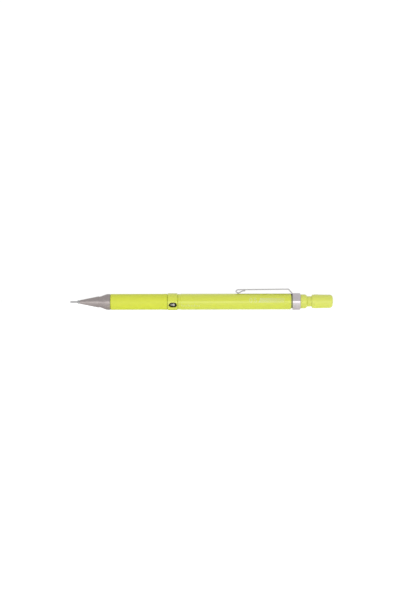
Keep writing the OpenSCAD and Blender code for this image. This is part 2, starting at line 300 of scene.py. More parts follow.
def moulded(name, colour, dark, roughness, coat, grain):
    """Coloured plastic: a soft mottle, handling marks in the gloss, fine grain and paler edges."""
    paint = Paint(name, coat_weight=coat, coat_roughness=0.08, coat_ior=1.65, specular_ior_level=0.5)
    mottle = paint.noise((0.16, 0.5, 0.5), detail=2.0)
    tint = paint.mix(paint.spread(mottle, 0.0, 1.0), rgb(*dark), rgb(*colour))
    pale = rgb(*(min(1.0, c * 1.06 + 0.02) for c in colour))
    paint.set("Base Color", paint.mix(paint.edges(), tint, pale))
    smear = paint.noise((0.35, 1.1, 1.1), detail=3.0, seed=7.0)
    hairs = paint.noise((9.0, 0.5, 0.5), detail=2.0, seed=3.0)
    gloss = paint.sum(paint.spread(smear, -0.04, 0.05), paint.spread(hairs, 0.0, 0.03, 0.5, 0.7))
    paint.set("Roughness", paint.sum(gloss, roughness))
    fine = paint.noise((11.0, 11.0, 11.0), detail=2.0, seed=5.0)
    paint.bump(paint.sum(fine, paint.spread(mottle, 0.0, 0.8)), grain)
    return paint.material


def turned_metal(name, colour, dark, roughness, depth, lines=14.0, wear=0.0):
    """Metal off a lathe: fine rings round the axis in its relief and gloss, with brighter edges."""
    paint = Paint(name, metallic=1.0)
    rings = paint.noise((lines, 0.12, 0.12), detail=4.0, rough=0.7)
    broad = paint.noise((1.6, 0.05, 0.05), detail=2.0, seed=2.0)
    cloud = paint.noise((0.5, 0.7, 0.7), detail=4.0, seed=9.0)
    tint = paint.mix(paint.spread(cloud, 0.0, 1.0), rgb(*dark), rgb(*colour))
    bright = rgb(*(min(1.0, c * 1.25) for c in colour))
    paint.set("Base Color", paint.mix(paint.edges(), tint, bright))
    gloss = paint.sum(paint.spread(rings, -0.05, 0.05), paint.spread(cloud, -wear, wear))
    paint.set("Roughness", paint.sum(gloss, roughness))
    paint.bump(paint.sum(rings, broad), depth)
    return paint.material


def plated(name, colour, roughness):
    """Polished plate: almost a mirror, with hairline wipes and a few dull smudges."""
    paint = Paint(name, metallic=1.0)
    wipes = paint.noise((18.0, 0.4, 0.4), detail=3.0, rough=0.7)
    smudge = paint.noise((0.6, 0.9, 0.9), detail=4.0, seed=4.0)
    dull = rgb(*(c * 0.93 for c in colour))
    paint.set("Base Color", paint.mix(paint.spread(smudge, 0.0, 1.0), rgb(*colour), dull))
    gloss = paint.sum(paint.spread(wipes, 0.0, 0.06, 0.5, 0.7), paint.spread(smudge, 0.0, 0.06))
    paint.set("Roughness", paint.sum(gloss, roughness))
    paint.bump(wipes, 0.0004)
    return paint.material


def rolled_steel(name, colour, roughness):
    """Spring strip: fine rolling lines along its length, and edges polished by the press."""
    paint = Paint(name, metallic=1.0)
    lines = paint.noise((0.12, 16.0, 16.0), detail=3.0, rough=0.7)
    cloud = paint.noise((0.25, 0.8, 0.8), detail=4.0, seed=6.0)
    dark = rgb(*(c * 0.9 for c in colour))
    tint = paint.mix(paint.spread(cloud, 0.0, 1.0), dark, rgb(*colour))
    bright = rgb(*(min(1.0, c * 1.15) for c in colour))
    paint.set("Base Color", paint.mix(paint.edges(), tint, bright))
    gloss = paint.sum(paint.spread(lines, -0.05, 0.07), paint.spread(cloud, -0.02, 0.04))
    paint.set("Roughness", paint.sum(gloss, roughness))
    paint.bump(lines, 0.0015)
    return paint.material


def soft_rubber(name, colour, dust):
    """Rubber with a bloom of dust and a fine pitted skin."""
    paint = Paint(name, roughness=0.8, specular_ior_level=0.35)
    cloud = paint.noise((0.7, 0.7, 0.7), detail=5.0)
    pits = paint.noise((7.0, 7.0, 7.0), detail=4.0, seed=1.0)
    paint.set("Base Color", paint.mix(paint.spread(cloud, 0.0, 1.0), rgb(*colour), rgb(*dust)))
    paint.set("Roughness", paint.spread(pits, 0.7, 0.92))
    paint.bump(pits, 0.02)
    return paint.material


def clear_plastic():
    """Extruded tube: clear, with faint drawing lines and a trace of lead dust."""
    paint = Paint("clear_tube", transmission_weight=0.85, ior=1.46, coat_weight=0.2)
    lines = paint.noise((0.1, 6.0, 6.0), detail=3.0)
    dust = paint.noise((0.5, 1.4, 1.4), detail=5.0, seed=8.0)
    clear, grey = rgb(0.86, 0.89, 0.91), rgb(0.6, 0.61, 0.62)
    paint.set("Base Color", paint.mix(paint.spread(dust, 0.0, 0.6), clear, grey))
    paint.set("Roughness", paint.sum(paint.spread(lines, 0.02, 0.1), paint.spread(dust, 0.0, 0.12)))
    paint.bump(lines, 0.002)
    return paint.material


def graphite():
    """Polymer lead: dark grey, slightly metallic, with lines from the die along it."""
    paint = Paint("graphite", metallic=0.35, specular_ior_level=0.6)
    lines = paint.noise((0.4, 20.0, 20.0), detail=3.0)
    tint = paint.mix(paint.spread(lines, 0.0, 1.0), rgb(0.03, 0.03, 0.034), rgb(0.075, 0.075, 0.082))
    paint.set("Base Color", tint)
    paint.set("Roughness", paint.spread(lines, 0.32, 0.5))
    paint.bump(lines, 0.003)
    return paint.material


def printing_ink(name, colour, roughness):
    """A thin printed layer, uneven in cover and gloss."""
    paint = Paint(name, specular_ior_level=0.2)
    cover = paint.noise((5.0, 5.0, 5.0), detail=4.0)
    thin = rgb(*(c * 0.86 for c in colour))
    paint.set("Base Color", paint.mix(paint.spread(cover, 0.0, 1.0), thin, rgb(*colour)))
    paint.set("Roughness", paint.spread(cover, roughness - 0.08, roughness + 0.08))
    paint.bump(cover, 0.002)
    return paint.material


LIME = (0.62, 0.67, 0.048)
LIME_DARK = (0.6, 0.65, 0.044)
PAINTS = {
    "lime_satin": moulded("lime_satin", LIME, LIME_DARK, 0.42, 0.0, 0.004),
    "lime_gloss": moulded("lime_gloss", (0.595, 0.65, 0.025), (0.58, 0.635, 0.02), 0.3, 1.0, 0.0015),
    "satin_nickel": turned_metal(
        "satin_nickel", (0.38, 0.34, 0.33), (0.35, 0.31, 0.305), 0.34, 0.003, wear=0.03
    ),
    "steel": turned_metal("steel", (0.42, 0.42, 0.42), (0.36, 0.36, 0.36), 0.36, 0.002, lines=20.0),
    "clip_steel": rolled_steel("clip_steel", (0.62, 0.6, 0.62), 0.28),
    "chrome": plated("chrome", (0.62, 0.58, 0.6), 0.05),
    "black_rubber": soft_rubber("black_rubber", (0.025, 0.025, 0.025), (0.05, 0.05, 0.05)),
    "black_print": printing_ink("black_print", (0.005, 0.005, 0.005), 0.55),
    "brass": turned_metal("brass", (0.78, 0.58, 0.27), (0.66, 0.46, 0.2), 0.24, 0.003, wear=0.05),
    "inner_plastic": moulded("inner_plastic", (0.72, 0.68, 0.6), (0.66, 0.62, 0.53), 0.45, 0.0, 0.005),
    "clear_tube": clear_plastic(),
    "spring_steel": rolled_steel("spring_steel", (0.58, 0.58, 0.6), 0.28),
    "eraser_rubber": soft_rubber("eraser_rubber", (0.86, 0.86, 0.84), (0.7, 0.7, 0.69)),
    "graphite": graphite(),
}
SHEARED_STEEL = rolled_steel("sheared_steel", (0.42, 0.41, 0.42), 0.5)
# painted shade: the collar's ring is coloured dark olive for the shade in the groove between barrel and
# band and for the lime walls reflected there
COLLAR_SHADE_STEEL = turned_metal("collar_shade_steel", (0.4, 0.41, 0.24), (0.35, 0.36, 0.2), 0.5, 0.002)
# painted shade: near black steel for the shade at the clip's root
TAB_SHADE_STEEL = rolled_steel("tab_shade_steel", (0.2, 0.19, 0.17), 0.5)
CAP_LIME = moulded("lime_cap", (0.63, 0.675, 0.1), (0.615, 0.66, 0.09), 0.3, 0.5, 0.0015)
WHITE_INK = printing_ink("white_ink", (0.72, 0.7, 0.68), 0.5)
PALE_INK = printing_ink("pale_ink", (0.66, 0.7, 0.4), 0.42)


# ---------------------------------------------------------------- nose

def lead_sleeve():
    front, back = ends("lead_sleeve")
    outer = radius("lead_sleeve")
    return turned([
        (front, outer, 0.05), (back, outer, 0.04), (back, LEAD_BORE, 0.03), (front, LEAD_BORE, 0.06),
    ], sides=96, step=0.8)


def tip_bush():
    front, back = ends("tip_bush")
    cone = ends("nose_cone")[0]
    sleeve = radius("lead_sleeve")
    sleeve_end = ends("lead_sleeve")[1] + FIT
    outer = radius("tip_bush")
    spigot = 0.7
    return turned([
        (front, sleeve + 0.12, 0.05), (front + 0.22, outer - 0.06, 0.1), (front + 0.4, outer, 0.1),
        (cone - 0.05, outer, 0.05), (cone - 0.05, spigot, 0.03), (back, spigot, 0.05),
        (back, LEAD_BORE + 0.2), (back - 0.5, LEAD_BORE, 0.05), (sleeve_end, LEAD_BORE),
        (sleeve_end, sleeve + FIT), (front, sleeve + FIT),
    ], sides=112, step=0.5)


def nose_cone():
    front, back = ends("nose_cone")
    small, waist, large = 1.05, 3.02, radius("nose_cone")
    neck = front + 9.8
    flare_foot = neck + 1.46
    flare_top = back - 2.01
    thread, thread_bore = ends("thread_insert")[0], radius("chuck_housing") + 0.15
    shoulder = ends("chuck_housing")[0] - SLIP
    clutch_bore, head_bore, pocket, bush = 2.0, 1.65, radius("lead_retainer") + FIT, 0.72
    ring_stop = neck - 1.45
    pocket_end = ends("lead_retainer")[1]
    bush_end = ends("tip_bush")[1] + FIT
    return turned([
        (front, small - 0.12, 0.04), (front + 0.15, small, 0.15), (neck, waist, 0.5),
        (neck + 0.62, waist, 0.04), (neck + 0.7, waist - 0.07, 0.05), (neck + 0.95, waist - 0.07, 0.05),
        (neck + 1.03, waist, 0.04), (flare_foot, waist, 1.2), (flare_top, large, 4.0),
        (back, large, 0.35), (back, thread_bore, 0.05), (thread, thread_bore), (thread, thread_bore - 0.1),
        (shoulder, thread_bore - 0.1), (shoulder, clutch_bore, 0.05), (ring_stop, clutch_bore),
        (ring_stop, head_bore), (pocket_end, head_bore), (pocket_end, pocket), (bush_end, pocket),
        (bush_end, bush), (front, bush, 0.03),
    ], step=0.6)


def lead_retainer():
    front, back = ends("lead_retainer")
    outer = radius("lead_retainer")
    return turned([
        (front, outer, 0.08), (back, outer, 0.08), (back, LEAD_BORE + 0.45, 0.05),
        (back - 0.7, LEAD_BORE, 0.08), (front, LEAD_BORE, 0.05),
    ], sides=96, step=0.4)


# ---------------------------------------------------------------- mechanism

def jaw_slope(station):
    """Radius of the chuck's head, which widens towards its mouth."""
    return radius("chuck") - 0.136 * (station - ends("chuck")[0] - 0.3)


def chuck():
    """Three jaws, parted by slits, on a bored stem."""
    front, back = ends("chuck")
    ring_end = ends("chuck_ring")[1]
    slit_end = front + 8.5
    stem, bore = 1.0, LEAD_BORE + 0.15
    head = radius("chuck")
    jaw = [
        (front, head - 0.35, 0.1), (front + 0.3, head, 0.08),
        (ring_end + 0.1, jaw_slope(ring_end + 0.1), 0.1),
        (ring_end + 0.4, stem, 0.1), (slit_end, stem), (slit_end, bore),
        (ring_end + 1.0, bore), (ring_end + 0.6, LEAD_BORE), (front, LEAD_BORE, 0.04),
    ]
    mesh = bmesh.new()
    half_slit = math.radians(5)
    for k in range(3):
        start = math.radians(90 + 120 * k)
        sector(jaw, start + half_slit, start + math.radians(120) - half_slit, 32, mesh)
    return turned([
        (slit_end, stem), (back, stem, 0.08), (back, bore, 0.05), (slit_end, bore),
    ], sides=96, mesh=mesh)


def chuck_ring():
    front, back = ends("chuck_ring")
    outer = radius("chuck_ring")
    return turned([
        (front, outer, 0.1), (back, outer, 0.1), (back, jaw_slope(back) + 0.03, 0.05),
        (front, jaw_slope(front) + 0.03, 0.05),
    ], sides=112, step=0.4)


def chuck_spring():
    """A round wire wound into a coil, with a closed turn at each end."""
    front, back = ends("chuck_spring")
    wire = 0.16
    middle = radius("chuck_spring") - wire
    turns, steps, sides = 12, 48, 14
    close = 2.06 * wire
    pitch = (back - front - 2 * wire - 2 * close) / (turns - 2)
    mesh = bmesh.new()
    sections = []
    for i in range(turns * steps + 1):
        t = i / steps
        low, high = min(t, 1.0), max(t - turns + 1, 0.0)
        station = front + wire + close * (low + high) + pitch * (t - low - high)
        # the wire's ends are ground, so it thins over the last eighth of a turn
        taper = min(1.0, 0.4 + 8 * 0.6 * min(t, turns - t))
        section = []
        for k in range(sides):
            a = math.tau * k / sides
            r = middle + wire * taper * math.cos(a)
            section.append(mesh.verts.new(spot(station + wire * taper * math.sin(a), r, math.tau * t)))
        sections.append(section)
    for a, b in zip(sections, sections[1:]):
        bridge(mesh, a, b)
    mesh.faces.new(sections[0])
    mesh.faces.new(sections[-1])
    return mesh


def chuck_housing():
    front, back = ends("chuck_housing")
    clamp, body, chamber, throat = radius("chuck_housing"), 2.1, 1.8, 1.2
    web = ends("chuck_spring")[0] - SLIP
    collar = ends("thread_insert")[0] - SLIP
    return turned([
        (front, clamp, 0.05), (collar, clamp, 0.05), (collar, body, 0.05), (back, body, 0.1),
        (back, chamber, 0.08), (web, chamber, 0.1), (web, throat, 0.05), (front, throat, 0.05),
    ], sides=112)


def threaded(crest, start, end, pitch=0.7, depth=0.2):
    """A shape() for turned() that cuts a helix into its outside, fading in and out at the ends."""
    def shape(station, r, angle):
        if r < crest - 0.01 or not start < station < end:
            return r
        phase = (station / pitch - angle / math.tau) % 1.0
        ridge = min(1.0, max(0.0, 2.2 - 5 * abs(phase - 0.5)))
        fade = min(1.0, (station - start) / pitch, (end - station) / pitch)
        return r - depth * fade * (1 - ridge)
    return shape


def thread_insert():
    front, back = ends("thread_insert")
    seat = ends("front_barrel")[0]
    crest, body, bore = 2.7, radius("thread_insert"), 2.15
    thread = threaded(crest, front, seat)

    def shape(station, r, angle):
        return thread(station, r, angle) if r <= crest + 0.01 else r

    return turned([
        (front, crest, 0.08), (seat, crest), (seat, body, 0.05), (back, body, 0.08),
        (back, bore, 0.05), (front, bore, 0.05),
    ], shape, sides=112, step=0.09)


def tube_coupling():
    front, back = ends("tube_coupling")
    tube = ends("lead_tube")[0]
    body, spigot, bore, stem = radius("tube_coupling"), 1.5, LEAD_BORE + 0.15, 1.02
    socket = ends("chuck")[1] + FIT
    return turned([
        (front, body, 0.06), (tube - SLIP, body, 0.06), (tube - SLIP, spigot), (back, spigot, 0.12),
        (back, spigot - 0.18), (back - 2, bore, 0.2), (socket, bore), (socket, stem), (front, stem, 0.04),
    ], sides=96)


def lead_tube():
    front, back = ends("lead_tube")
    outer, bore = radius("lead_tube"), 1.52
    return turned([
        (front, outer, 0.05), (back, outer, 0.05), (back, bore, 0.04), (front, bore, 0.04),
    ], sides=96, step=2.5)


def lead_stick(mesh, front, back, across, up, r=0.28):
    """A lead parallel to the axis, at a place across it, in millimetres."""
    stick = turned([
        (front, 0), (front, r, 0.05), (back, r, 0.05), (back, 0),
    ], sides=28, step=2.0, closed=False)
    bmesh.ops.translate(stick, verts=stick.verts, vec=(0, across * MM, up * MM))
    part = bpy.data.meshes.new("stick")
    stick.to_mesh(part)
    stick.free()
    mesh.from_mesh(part)
    bpy.data.meshes.remove(part)


def lead():
    mesh = bmesh.new()
    lead_stick(mesh, *ends("lead"), 0, 0)
    return mesh


def spare_leads():
    """Three leads that lie side by side at the bottom of the tube."""
    mesh = bmesh.new()
    reach = 1.52 - 0.28 - FIT
    for turn in (-28, 0, 28):
        a = math.radians(turn)
        lead_stick(mesh, *ends("spare_leads"), reach * math.sin(a), -reach * math.cos(a))
    return mesh


# ---------------------------------------------------------------- barrels

def front_barrel():
    """The satin barrel: two fine grooves, a seam and a small collar before the grade ring."""
    front, back = ends("front_barrel")
    outer = radius("front_barrel") - 0.05
    groove = back - 3.35
    joiner, insert = radius("barrel_joiner") + FIT, radius("thread_insert") + FIT
    joiner_front = ends("barrel_joiner")[0] - SLIP
    insert_back = ends("thread_insert")[1] + SLIP
    return turned([
        (front, outer - 0.25, 0.05), (front + 0.1, outer - 0.06, 0.1), (front + 0.35, outer, 0.3),
        (groove, outer, 0.03), (groove + 0.1, outer - 0.06, 0.05), (groove + 0.2, outer, 0.03),
        (groove + 1.1, outer, 0.03), (groove + 1.2, outer - 0.05, 0.05),
        (groove + 1.32, outer + 0.04, 0.04),
        (back - 0.35, outer + 0.05, 0.1), (back - 0.1, outer - 0.05, 0.1), (back, outer - 0.25, 0.04),
        (back, joiner, 0.04), (joiner_front, joiner), (joiner_front, joiner - 0.7),
        (insert_back, joiner - 0.7), (insert_back, insert), (front, insert, 0.04),
    ])


def barrel_joiner():
    front, back = ends("barrel_joiner")
    outer, bore = radius("barrel_joiner"), 2.5
    front_thread = threaded(outer, front + 0.2, ends("front_barrel")[1] - 0.6)
    rear_thread = threaded(outer, ends("rear_barrel")[0] + 0.3, back - 0.2)

    def shape(station, r, angle):
        return rear_thread(station, front_thread(station, r, angle), angle)

    return turned([
        (front, outer, 0.2), (back, outer, 0.2), (back, bore, 0.05), (front, bore, 0.05),
    ], shape, sides=96, step=0.11)


def grade_scale():
    front, back = ends("grade_scale")
    outer, bore = radius("grade_scale"), radius("barrel_joiner") + FIT
    return turned([
        (front, outer, 0.04), (back, outer, 0.04), (back, bore, 0.04), (front, bore, 0.04),
    ], step=0.6)


def rear_barrel():
    front, back = ends("rear_barrel")
    outer = radius("rear_barrel")
    step_end = front + 1.4
    joiner, shank = radius("barrel_joiner") + FIT, 3.47
    joiner_back = ends("barrel_joiner")[1] + SLIP
    shank_front = ends("end_bush")[0] - SLIP
    return turned([
        (front, outer - 0.3, 0.05), (front + 0.12, outer - 0.13, 0.08), (step_end, outer - 0.13, 0.04),
        (step_end + 0.12, outer, 0.08), (back - 0.2, outer, 0.2), (back, outer - 0.15, 0.05),
        (back, shank, 0.04), (shank_front, shank), (shank_front, 3.0), (joiner_back, 3.0),
        (joiner_back, joiner), (front, joiner, 0.04),
    ])


# ---------------------------------------------------------------- grade ring

WINDOW_TILT = math.radians(-24)
WINDOW_LENGTH, WINDOW_WIDTH = 4.3, 2.9
NOTCH, NOTCH_HALF, NOTCH_ROOT = 0.5, 0.6, 0.2
COLUMNS = 168                # sides of the ring
PATCH = 22                   # columns to either side of the window that bend round it


def window_reach(direction, grow=0.0):
    """From the window's middle to its edge: a slot with round ends, and a notch towards the tip."""
    along, across = abs(math.cos(direction)), abs(math.sin(direction))
    r = WINDOW_WIDTH / 2 + grow
    arm = (WINDOW_LENGTH - WINDOW_WIDTH) / 2
    if r * along <= arm * across:
        slot = r / across
    else:
        slot = arm * along + math.sqrt(max(0.0, r * r - (arm * across) ** 2))
    tip = WINDOW_LENGTH / 2 + NOTCH + 1.6 * grow
    notch = NOTCH_HALF * tip / ((NOTCH + NOTCH_ROOT) * across + NOTCH_HALF * along)
    if math.cos(direction) > 0 or notch * along < WINDOW_LENGTH / 2 - NOTCH_ROOT:
        return slot
    return max(slot, notch)


def radius_at(rows, station):
    """The radius of a row of (station, radius) points, between its points."""
    for (s0, r0), (s1, r1) in zip(rows, rows[1:]):
        if station <= s1:
            return r0 + (r1 - r0) * (station - s0) / (s1 - s0)
    return rows[-1][1]


def windowed_sheet(mesh, rows, middle, grow):
    """A tube's wall with the window left open. Gives its end rings, and the window's edge as a loop."""
    turn = math.tau / COLUMNS
    first = max(i for i, row in enumerate(rows) if row[0] < middle - WINDOW_LENGTH / 2 - NOTCH - 0.07)
    last = min(i for i, row in enumerate(rows) if row[0] > middle + WINDOW_LENGTH / 2 + 0.1)
    grid = {}
    for i, (station, r) in enumerate(rows):
        for k in range(COLUMNS):
            if not (first < i < last and min(k, COLUMNS - k) < PATCH):
                grid[i, k] = mesh.verts.new(spot(station, r, WINDOW_TILT + turn * k))
    for i in range(len(rows) - 1):
        for k in range(COLUMNS):
            if not first <= i < last or min(k + 0.5, COLUMNS - k - 0.5) > PATCH:
                n = (k + 1) % COLUMNS
                mesh.faces.new([grid[i, k], grid[i + 1, k], grid[i + 1, n], grid[i, n]])
    rim = [(last, k) for k in range(-PATCH, PATCH)]
    rim += [(i, PATCH) for i in range(last, first, -1)]
    rim += [(first, k) for k in range(PATCH, -PATCH, -1)]
    rim += [(i, -PATCH) for i in range(first, last)]
    loops = [[grid[i, k % COLUMNS] for i, k in rim]]
    start = [Vector((rows[i][0] - middle, turn * k)) for i, k in rim]
    edge = []
    for along, angle in start:
        direction = math.atan2(angle * rows[first][1], along)
        reach = window_reach(direction, grow)
        r = radius_at(rows, middle + reach * math.cos(direction))
        edge.append(Vector((reach * math.cos(direction), math.asin(reach * math.sin(direction) / r))))
    for share in (0.35, 0.65, 0.86, 1.0):
        ring = [a.lerp(b, share) for a, b in zip(start, edge)]
        loops.append([
            mesh.verts.new(spot(middle + p.x, radius_at(rows, middle + p.x), WINDOW_TILT + p.y))
            for p in ring
        ])
    for a, b in zip(loops, loops[1:]):
        bridge(mesh, a, b)
    ends_of = [[grid[i, k] for k in range(COLUMNS)] for i in (0, len(rows) - 1)]
    return ends_of, loops[-1], edge


def grade_ring():
    """A sleeve with rounded ends and a window cut through its wall."""
    front, back = ends("grade_ring")
    outer, bore = radius("grade_ring"), radius("grade_scale") + SLIP
    middle = (front + back) / 2 + 0.18
    profile = stepped(rounded([
        (front, outer - 0.3), (front + 0.06, outer - 0.08, 0.05), (front + 0.2, outer, 0.08),
        (back - 0.55, outer, 0.4), (back - 0.3, outer - 0.06, 0.3), (back - 0.1, outer - 0.2, 0.15),
        (back, outer - 0.4),
    ], closed=False), 0.3, closed=False)
    mesh = bmesh.new()
    break_edge = 0.06
    (front_out, back_out), edge_out, edge = windowed_sheet(mesh, profile, middle, break_edge)
    inside = [Vector((point[0], bore)) for point in profile]
    (front_in, back_in), edge_in, _ = windowed_sheet(mesh, inside, middle, 0.0)
    bridge(mesh, front_out, front_in)
    bridge(mesh, back_out, back_in)
    shoulder = []
    for along, angle in edge:
        direction = math.atan2(math.sin(angle) * outer, along)
        reach = window_reach(direction)
        r = radius_at(profile, middle + reach * math.cos(direction)) - break_edge
        turn = math.asin(reach * math.sin(direction) / r)
        shoulder.append(mesh.verts.new(spot(middle + reach * math.cos(direction), r, WINDOW_TILT + turn)))
    bridge(mesh, edge_out, shoulder)
    bridge(mesh, shoulder, edge_in)
    return mesh


# ---------------------------------------------------------------- print

def bow(along, up, half_width, half_height, start, end, steps=8):
    """Points of an elliptical arc, with angles in degrees."""
    angles = [math.radians(start + (end - start) * k / steps) for k in range(steps + 1)]
    return [(along + half_width * math.cos(a), up + half_height * math.sin(a)) for a in angles]


# Strokes of each character, in a box that is 1 high
GLYPHS = {
    "H": [[(0, 0), (0, 1)], [(0.58, 0), (0.58, 1)], [(0, 0.5), (0.58, 0.5)]],
    "B": [[(0, 0), (0, 1), (0.3, 1)] + bow(0.3, 0.76, 0.24, 0.24, 80, -80) + [(0.3, 0.52), (0, 0.52)],
          [(0.3, 0.52)] + bow(0.32, 0.26, 0.26, 0.26, 80, -80) + [(0.3, 0), (0, 0)]],
    "F": [[(0, 0), (0, 1), (0.55, 1)], [(0, 0.52), (0.45, 0.52)]],
    "2": [bow(0.27, 0.73, 0.27, 0.27, 165, -35) + [(0, 0), (0.56, 0)]],
    "4": [[(0.44, 0), (0.44, 1), (0, 0.3), (0.6, 0.3)]],
    "0": [bow(0.28, 0.5, 0.28, 0.5, 90, 450, 20)],
    ".": [[(0.05, 0), (0.05, 0.08)]],
    "5": [[(0.52, 1), (0.06, 1), (0.04, 0.56)] + bow(0.26, 0.32, 0.28, 0.32, 125, -145, 12)],
}
ADVANCE = {".": 0.3}


def lettering(words, along, up, height):
    """The strokes of a word, from its lower left corner."""
    strokes = []
    for character in words:
        for stroke in GLYPHS[character]:
            strokes.append([(along + x * height, up + y * height) for x, y in stroke])
        along += ADVANCE.get(character, 0.78) * height
    return strokes


def print_strokes(mesh, strokes, r, width, angle=0.0, lift=0.012):
    """Ink lines on a cylinder of radius r. A stroke's points are (station, distance round it)."""
    for stroke in strokes:
        line = stepped([Vector(p) for p in stroke], 0.16, closed=False)
        sections = []
        for i, point in enumerate(line):
            heading = (line[min(i + 1, len(line) - 1)] - line[max(i - 1, 0)]).normalized()
            if i in (0, len(line) - 1):
                point = point + heading * (width / 2 if i else -width / 2)
            side = Vector((-heading.y, heading.x)) * width / 2
            corners = []
            for place, height in ((point - side, -0.01), (point + side, -0.01), (point + side, lift),
                                  (point - side, lift)):
                corners.append(mesh.verts.new(spot(place.x, r + height, angle + place.y / r)))
            sections.append(corners)
        for a, b in zip(sections, sections[1:]):
            bridge(mesh, a, b)
        mesh.faces.new(sections[0])
        mesh.faces.new(sections[-1])


GRADES = ("HB", "F", "H", "2H", "4H", "B", "2B", "4B")


def grade_print():
    """Lead grades round the scale, one to each eighth of a turn, each with a mark towards the tip."""
    mesh = bmesh.new()
    front, back = ends("grade_ring")
    r = radius("grade_scale")
    height, line = 1.1, 0.2
    for k, grade in enumerate(GRADES):
        angle = WINDOW_TILT + math.tau * k / len(GRADES)
        width = (0.78 * len(grade) - 0.2) * height
        start = (front + back) / 2 + 0.3 - width / 2
        strokes = lettering(grade, start, -0.05 - height / 2, height)
        print_strokes(mesh, strokes, r, line, angle)
        print_strokes(mesh, [[(start - 1.0, -0.05), (start - 0.5, -0.05)]], r, line, angle)
    return show("grade_scale", mesh, WHITE_INK, "grade_print")


def size_print():
    """Generic decoration on the rear barrel: the lead's size, a fading hatch, and a row of fine ticks."""
    mesh = bmesh.new()
    front, back = ends("rear_barrel")
    r = radius("rear_barrel")
    height, line = 2.3, 0.2
    start, low = back - 22.6, -0.45
    print_strokes(mesh, lettering("0.5", start, low, height), r, line)
    bars = 22
    for k in range(bars):
        foot = start + 5.2 + 0.62 * k
        print_strokes(mesh, [[(foot, low), (foot + 0.8, low + height)]], r, line * (1.5 - 0.04 * k))
    for k in range(12):
        foot = front + 2.2 + 0.86 * k
        tall = 1.2 if k % 4 == 0 else 0.7
        print_strokes(mesh, [[(foot, -2.75), (foot, -2.75 + tall)]], r, 0.2)
    return show("rear_barrel", mesh, PALE_INK, "size_print")


# ---------------------------------------------------------------- clip and band

COLLAR_DEPTH = 0.65          # how far the collar's ring lies below the rear barrel


def clip_collar():
    """The ring that is clamped between barrel and band, and the tab that the clip grows from."""
    front, back = ends("clip_collar")
    outer, bore = radius("rear_barrel") - COLLAR_DEPTH, 3.47
    mesh = turned([
        (front, outer, 0.06), (back, outer, 0.06), (back, bore, 0.05), (front, bore, 0.05),
    ], step=0.3)
    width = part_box("clip")[1].y / MM
    top = (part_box("clip_collar")[1].z - AXIS_Z) / MM
    saddle_block(mesh, (front, -width, outer - 1.0), (back, width, top), 0.05, outer - 0.1)
    return mesh


def saddle_block(mesh, low, high, chamfer, saddle):
    """A block from (station, across, up) to (station, across, up), with its underside round a bore."""
    made = bmesh.new()
    bmesh.ops.create_cube(made, size=1.0)
    for v in made.verts:
        v.co = [MM * (low[i] if v.co[i] < 0 else high[i]) for i in range(3)]
        v.co.x += MM * MOUTH_X
    bmesh.ops.bevel(
        made, geom=made.edges[:], offset=chamfer * MM, segments=3, profile=0.5, affect="EDGES"
    )
    for k in range(1, 12):
        across = MM * (low[1] + (high[1] - low[1]) * k / 12)
        geom = made.verts[:] + made.edges[:] + made.faces[:]
        bmesh.ops.bisect_plane(made, geom=geom, plane_co=(0, across, 0), plane_no=(0, 1, 0))
    for v in made.verts:
        v.co.z = max(v.co.z, math.sqrt((MM * saddle) ** 2 - v.co.y ** 2))
    part = bpy.data.meshes.new("box")
    made.to_mesh(part)
    made.free()
    mesh.from_mesh(part)
    bpy.data.meshes.remove(part)


def clip():
    """Spring strip: it rises from its root, lies along the barrel, and its end is folded into a loop."""
    low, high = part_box("clip")
    thick = 0.6
    hinge = high.x / MM - MOUTH_X - thick / 2
    root = radius("rear_barrel") - 0.2
    arm = (high.z - AXIS_Z) / MM - thick / 2
    arm_end = arm - 0.25
    loop = hinge - 29.5
    foot = radius("rear_barrel") + 0.06 + thick / 2
    path = stepped(rounded([
        (hinge, root), (hinge, root + 0.5, 0.4), (hinge - 1.7, arm, 0.7), (loop, arm_end, 1.2),
        (loop - 1.2, foot + 0.78, 0.5), (loop + 0.45, foot - 0.11, 0.8),
        (loop + 2.95, arm_end - thick - 0.03, 1.0), (loop + 4.15, arm_end - thick - 0.02),
    ], steps=10, closed=False), 0.7, closed=False)
    wide, narrow = high.y / MM, 1.25
    corner, corner_steps = 0.14, 4
    mesh = bmesh.new()
    sections = []
    count = len(path)
    for i, point in enumerate(path):
        heading = (path[min(i + 1, count - 1)] - path[max(i - 1, 0)]).normalized()
        normal = Vector((-heading.y, heading.x))
        share = min(1.0, max(0.0, (hinge - 1.7 - point.x) / (hinge - 1.7 - loop)))
        half = wide + (narrow - wide) * share
        section = []
        for across, up in ((1, 1), (-1, 1), (-1, -1), (1, -1)):
            centre = (across * (half - corner), up * (thick / 2 - corner))
            start = {(1, 1): 0, (-1, 1): 90, (-1, -1): 180, (1, -1): 270}[across, up]
            for k in range(corner_steps + 1):
                a = math.radians(start + 90 * k / corner_steps)
                y = centre[0] + corner * math.cos(a)
                lift = centre[1] + corner * math.sin(a)
                place = point + normal * lift
                section.append((place.x, y, place.y))
        sections.append((section, point, half))
    rings = []
    for section, point, half in [sections[0], *sections, sections[-1]]:
        rings.append([mesh.verts.new((MM * (MOUTH_X + x), MM * y, MM * z)) for x, y, z in section])
    for ring, heading in ((rings[0], path[0] - path[1]), (rings[-1], path[-1] - path[-2])):
        # the strip's ends are rounded over
        middle = sum((v.co for v in ring), Vector()) / len(ring)
        out = heading.normalized() * 0.08 * MM
        for v in ring:
            v.co = middle + (v.co - middle) * 0.93
            v.co += Vector((out.x, 0, out.y))
    for a, b in zip(rings, rings[1:]):
        bridge(mesh, a, b)
    mesh.faces.new(rings[0])
    mesh.faces.new(rings[-1])
    return mesh


def clip_band():
    front, back = ends("clip_band")
    outer, bore = radius("clip_band"), 3.47
    return turned([
        (front, bore, 0.03), (front, outer - 0.2, 0.05), (front + 0.08, outer - 0.05, 0.1),
        (front + 0.3, outer, 0.15), (back, outer, 0.7), (back, bore, 0.03),
    ], step=0.5)


